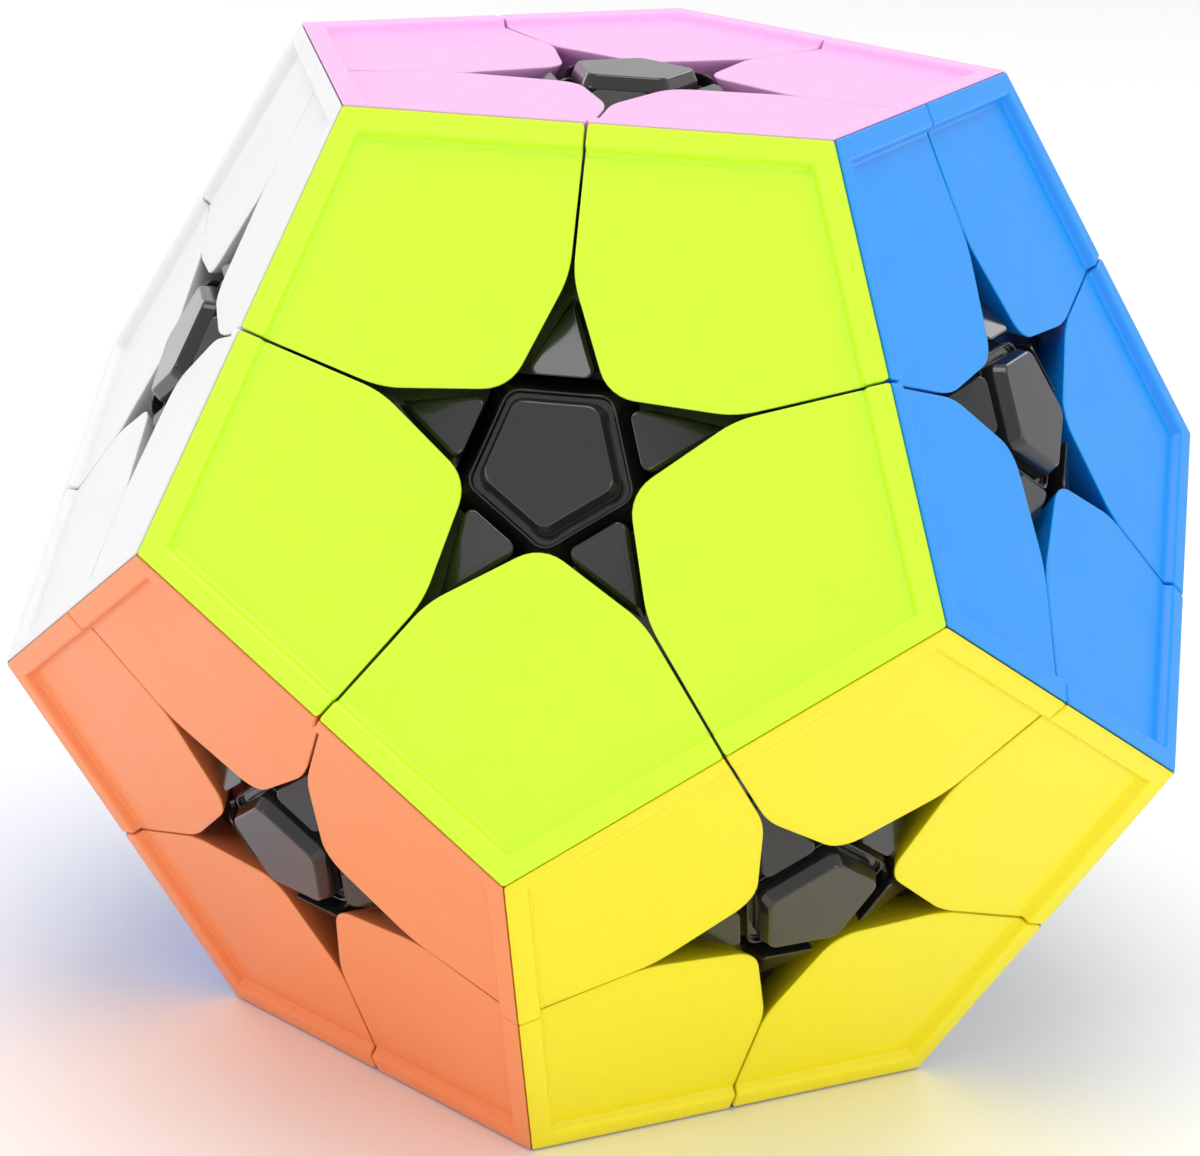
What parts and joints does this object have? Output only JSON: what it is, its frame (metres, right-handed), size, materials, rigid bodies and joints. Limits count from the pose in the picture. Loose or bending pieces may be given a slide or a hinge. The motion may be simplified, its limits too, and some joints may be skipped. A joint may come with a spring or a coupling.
{
  "type": "dodecahedron twisty puzzle",
  "caption": "Dodecahedron twisty puzzle with star-shaped gaps round black centre caps, corner pieces in solid colours and layers that turn about a ball core.",
  "frame": {"origin": "middle of the core, which is the centre of the dodecahedron", "axes": "+Z out of the pink face on top, -Y towards the lime face in front, with the purple face resting on the surface below"},
  "size_m": [0.0734, 0.077, 0.0624],
  "materials": {
    "tile_pink": "smooth moulded pink plastic, coloured through, satin gloss",
    "tile_lime": "smooth moulded lime plastic, coloured through, satin gloss",
    "tile_sky": "smooth moulded sky plastic, coloured through, satin gloss",
    "tile_red": "smooth moulded red plastic, coloured through, satin gloss",
    "tile_cream": "smooth moulded cream plastic, coloured through, satin gloss",
    "tile_white": "smooth moulded white plastic, coloured through, satin gloss",
    "tile_yellow": "smooth moulded yellow plastic, coloured through, satin gloss",
    "tile_grey": "smooth moulded grey plastic, coloured through, satin gloss",
    "tile_green": "smooth moulded green plastic, coloured through, satin gloss",
    "tile_blue": "smooth moulded blue plastic, coloured through, satin gloss",
    "tile_orange": "smooth moulded orange plastic, coloured through, satin gloss",
    "tile_purple": "smooth moulded purple plastic, coloured through, satin gloss",
    "black_gloss": "polished black moulded plastic",
    "black_satin": "black moulded plastic with a soft gloss",
    "core_plastic": "dark grey moulded plastic",
    "screw_steel": "zinc-plated steel"
  },
  "bodies": {
    "core_group": {"centre_cream": "black_gloss", "centre_green": "black_gloss", "centre_grey": "black_gloss", "centre_lime": "black_gloss", "centre_orange": "black_gloss", "centre_purple": "black_gloss", "centre_red": "black_gloss", "centre_sky": "black_gloss", "centre_white": "black_gloss", "core": "core_plastic", "corner_grey_green_purple": "tile_grey", "corner_lime_white_orange": "tile_lime", "corner_red_cream_green": "tile_red", "corner_red_grey_green": "tile_red", "corner_sky_red_grey": "tile_sky", "screw_blue": "screw_steel", "screw_cream": "screw_steel", "screw_green": "screw_steel", "screw_grey": "screw_steel", "screw_lime": "screw_steel", "screw_orange": "screw_steel", "screw_pink": "screw_steel", "screw_purple": "screw_steel", "screw_red": "screw_steel", "screw_sky": "screw_steel", "screw_white": "screw_steel", "screw_yellow": "screw_steel"},
    "pink_layer": {"centre_pink": "black_gloss", "corner_pink_cream_white": "tile_pink", "corner_pink_lime_sky": "tile_pink", "corner_pink_lime_white": "tile_pink", "corner_pink_red_cream": "tile_pink", "corner_pink_sky_red": "tile_pink", "edge_pink_cream": "black_satin", "edge_pink_lime": "black_satin", "edge_pink_red": "black_satin", "edge_pink_sky": "black_satin", "edge_pink_white": "black_satin"},
    "yellow_layer": {"centre_yellow": "black_gloss", "corner_lime_sky_yellow": "tile_lime", "corner_lime_yellow_orange": "tile_lime", "corner_sky_yellow_grey": "tile_sky", "corner_yellow_grey_purple": "tile_yellow", "corner_yellow_orange_purple": "tile_yellow", "edge_lime_yellow": "black_satin", "edge_sky_yellow": "black_satin", "edge_yellow_grey": "black_satin", "edge_yellow_orange": "black_satin", "edge_yellow_purple": "black_satin"},
    "blue_layer": {"centre_blue": "black_gloss", "corner_blue_orange_purple": "tile_blue", "corner_cream_green_blue": "tile_cream", "corner_cream_white_blue": "tile_cream", "corner_green_blue_purple": "tile_green", "corner_white_blue_orange": "tile_white", "edge_blue_orange": "black_satin", "edge_blue_purple": "black_satin", "edge_cream_blue": "black_satin", "edge_green_blue": "black_satin", "edge_white_blue": "black_satin"}
  },
  "joints": [
    {"name": "pink_turn", "type": "hinge", "parent": "core_group", "child": "pink_layer", "pos_m": [0, 0, 0], "axis": [0, 0, 1], "continuous": true},
    {"name": "yellow_turn", "type": "hinge", "parent": "core_group", "child": "yellow_layer", "pos_m": [0, 0, 0], "axis": [0.5257, -0.7236, -0.4472], "continuous": true},
    {"name": "blue_turn", "type": "hinge", "parent": "core_group", "child": "blue_layer", "pos_m": [0, 0, 0], "axis": [-0.8507, 0.2764, -0.4472], "continuous": true}
  ]
}
